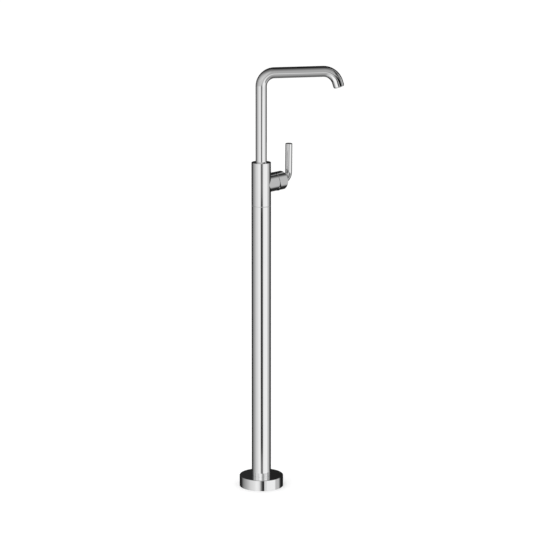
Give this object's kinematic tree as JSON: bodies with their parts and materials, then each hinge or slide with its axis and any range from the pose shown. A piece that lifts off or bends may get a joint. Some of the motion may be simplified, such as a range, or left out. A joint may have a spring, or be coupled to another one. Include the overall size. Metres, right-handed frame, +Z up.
{
  "type": "floor standing bath filler",
  "caption": "Floor standing bath filler: round base and column, single side handle with an upright pin lever, and a thin swivel spout with a turned-down nose.",
  "frame": {"origin": "centre of the base's underside, where the column's axis meets the floor", "axes": "+Z up along the column, +X along the spout at rest; the handle's axis lies 37 degrees from +X towards +Y"},
  "size_m": [0.2726, 0.1304, 1.0993],
  "materials": {
    "chrome": "polished chrome plating",
    "raw_brass": "turned, unplated",
    "copper_pipe": "drawn copper",
    "steel": "stainless",
    "rubber": "matt",
    "valve_plastic": "moulded",
    "disc_ceramic": "lapped"
  },
  "bodies": {
    "stand": {"base_plate": "raw_brass", "floor_seal": "rubber", "base_cover": "chrome", "cover_seal": "rubber", "column_tube": "chrome", "column_screws": "steel", "check_valves": "valve_plastic", "hot_pipe": "copper_pipe", "cold_pipe": "copper_pipe", "lower_union_nuts": "raw_brass", "upper_union_nuts": "raw_brass", "pipe_olives": "raw_brass", "seam_ring": "valve_plastic", "mixer_body": "chrome", "cartridge_base": "valve_plastic", "cartridge_seals": "rubber", "cartridge_shell": "valve_plastic", "fixed_disc": "disc_ceramic", "cartridge_nut": "raw_brass", "sleeve_dome": "chrome", "spout_bearing": "valve_plastic", "spout_stop_screw": "steel"},
    "cartridge_turn": {"cartridge_rotor": "valve_plastic", "pivot_pin": "steel"},
    "valve_disc": {"moving_disc": "disc_ceramic", "disc_carrier": "valve_plastic"},
    "handle": {"lever_stem": "raw_brass", "handle_cap": "chrome", "handle_screw": "steel", "lever_rod": "chrome"},
    "spout": {"spout_pipe": "chrome", "spout_tail": "raw_brass", "spout_rings": "rubber", "aerator_housing": "chrome", "aerator_insert": "valve_plastic", "aerator_washer": "rubber"}
  },
  "joints": [
    {"name": "spout_swivel", "type": "hinge", "parent": "stand", "child": "spout", "pos_m": [0, 0, 0.8565], "axis": [0, 0, 1], "range_deg": [-60, 60]},
    {"name": "temperature_turn", "type": "hinge", "parent": "stand", "child": "cartridge_turn", "pos_m": [0, 0, 0.7995], "axis": [0.7986, 0.6018, 0], "range_deg": [-45, 45]},
    {"name": "flow_tilt", "type": "hinge", "parent": "cartridge_turn", "child": "handle", "pos_m": [0.03674, 0.02768, 0.7995], "axis": [-0.6018, 0.7986, 0], "range_deg": [0, 25]},
    {"name": "disc_slide", "type": "slide", "parent": "cartridge_turn", "child": "valve_disc", "axis": [0, 0, 1], "range_m": [0, 0.00656]}
  ],
  "couplings": [
    {"joint": "disc_slide", "follows": "flow_tilt", "m_per_rad": 0.015013}
  ]
}
